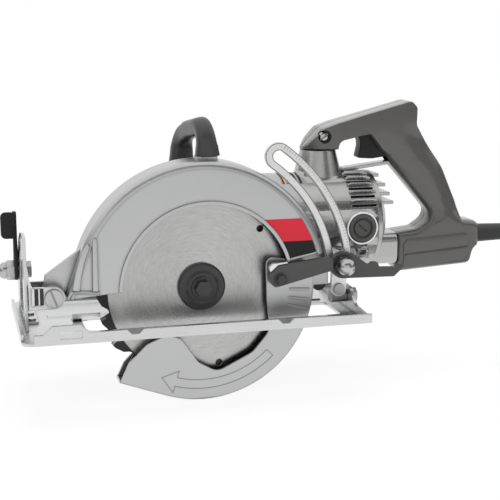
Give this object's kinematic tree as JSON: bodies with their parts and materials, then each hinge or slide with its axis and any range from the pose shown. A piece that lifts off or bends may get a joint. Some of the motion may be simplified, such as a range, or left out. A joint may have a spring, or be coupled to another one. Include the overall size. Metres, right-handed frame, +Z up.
{
  "type": "worm drive circular saw",
  "caption": "Worm drive circular saw with a fixed and a swinging blade guard, an arched front handle, a rear grip with trigger, and a foot that tilts for depth and bevel.",
  "frame": {"origin": "on the sole of the foot, under the arbor, in the motor's centre plane", "axes": "+X to the rear handle, +Y away from the blade side, +Z up from the sole"},
  "size_m": [0.6529, 0.1964, 0.2533],
  "materials": {
    "cast_aluminium": "satin cast",
    "sheet_aluminium": "brushed plate",
    "blade_steel": "brushed",
    "bright_steel": "plated",
    "plain_steel": "machined",
    "dark_steel": "black oxide",
    "grip_plastic": "fine grained",
    "black_plastic": "satin",
    "black_rubber": "satin",
    "copper": "wound wire",
    "bronze": "machined",
    "brass": "plain",
    "carbon": "pressed",
    "laminations": "stacked sheet"
  },
  "bodies": {
    "saw": {"upper_guard": "cast_aluminium", "gear_case": "cast_aluminium", "gear_cover": "cast_aluminium", "cover_screws": "plain_steel", "guard_screws": "plain_steel", "oil_plug": "dark_steel", "arbor_bearings": "plain_steel", "guard_ring": "plain_steel", "guard_spring": "plain_steel", "guard_bumper": "black_rubber", "aux_handle": "grip_plastic", "aux_screws": "plain_steel", "motor_housing": "cast_aluminium", "motor_end": "cast_aluminium", "motor_screws": "plain_steel", "field_core": "laminations", "field_coils": "copper", "armature_bearings": "plain_steel", "brushes": "carbon", "brush_tubes": "brass", "brush_caps": "black_plastic", "handle_left": "grip_plastic", "handle_right": "grip_plastic", "handle_screws": "plain_steel", "trigger_pin": "plain_steel", "trigger_guard": "plain_steel", "switch_body": "black_plastic", "depth_bolt": "plain_steel", "strain_relief": "black_rubber", "cord": "black_rubber", "cord_coil": "black_rubber", "plug": "black_rubber"},
    "blade": {"arbor_shaft": "plain_steel", "worm_wheel": "bronze", "inner_flange": "dark_steel", "blade": "blade_steel", "outer_flange": "dark_steel", "blade_bolt": "dark_steel"},
    "armature": {"armature_shaft": "plain_steel", "worm": "plain_steel", "armature_core": "laminations", "commutator": "copper", "fan": "black_plastic"},
    "lower_guard": {"lower_guard": "cast_aluminium", "lift_lever": "plain_steel", "lift_screw": "plain_steel"},
    "lock_button": {"lock_button": "black_plastic"},
    "trigger": {"trigger": "black_plastic"},
    "depth_frame": {"tilt_bracket": "sheet_aluminium", "depth_pin": "bright_steel", "bevel_bolt": "plain_steel", "rear_yoke": "plain_steel", "pivot_bolt": "dark_steel"},
    "foot": {"foot": "sheet_aluminium", "bevel_quadrant": "sheet_aluminium", "quadrant_rivets": "plain_steel"},
    "bevel_lever": {"bevel_lever": "black_plastic", "bevel_nut": "bright_steel"},
    "depth_link": {"depth_link": "sheet_aluminium"},
    "depth_lever": {"depth_lever": "dark_steel"}
  },
  "joints": [
    {"name": "blade_spin", "type": "hinge", "parent": "saw", "child": "blade", "pos_m": [0, -0.062, 0.0318], "axis": [0, 1, 0], "continuous": true},
    {"name": "armature_spin", "type": "hinge", "parent": "saw", "child": "armature", "pos_m": [0, 0, 0.0738], "axis": [1, 0, 0], "continuous": true},
    {"name": "lower_guard_swing", "type": "hinge", "parent": "saw", "child": "lower_guard", "pos_m": [0, -0.062, 0.0318], "axis": [0, -1, 0], "range_deg": [0, 105], "stiffness_Nm_per_rad": 0.18, "springref_deg": -68.75},
    {"name": "trigger_pull", "type": "hinge", "parent": "saw", "child": "trigger", "pos_m": [0.192, 0, 0.1578], "axis": [0, -1, 0], "range_deg": [0, 10], "stiffness_Nm_per_rad": 0.6, "springref_deg": -11.46},
    {"name": "lock_press", "type": "slide", "parent": "saw", "child": "lock_button", "axis": [0, 0, -1], "range_m": [0, 0.004], "stiffness_N_per_m": 900, "springref_m": -0.003},
    {"name": "depth_tilt", "type": "hinge", "parent": "saw", "child": "depth_frame", "pos_m": [-0.1285, -0.062, 0.0325], "axis": [0, 1, 0], "range_deg": [0, 25]},
    {"name": "bevel_tilt", "type": "hinge", "parent": "depth_frame", "child": "foot", "pos_m": [0, -0.054, 0.013], "axis": [-1, 0, 0], "range_deg": [0, 45]},
    {"name": "bevel_lever_turn", "type": "hinge", "parent": "depth_frame", "child": "bevel_lever", "pos_m": [-0.158, -0.00014, 0.04164], "axis": [-1, 0, 0], "range_deg": [0, 60]},
    {"name": "depth_link_turn", "type": "hinge", "parent": "depth_frame", "child": "depth_link", "pos_m": [0.1265, -0.062, 0.022], "axis": [0, 1, 0], "range_deg": [0, 12.5]},
    {"name": "depth_lever_turn", "type": "hinge", "parent": "saw", "child": "depth_lever", "pos_m": [0.127, -0.062, 0.046], "axis": [0, -1, 0], "range_deg": [0, 50]}
  ],
  "couplings": [
    {"joint": "armature_spin", "follows": "blade_spin", "ratio": -4.75},
    {"joint": "depth_link_turn", "follows": "depth_tilt", "ratio": 0.5}
  ]
}
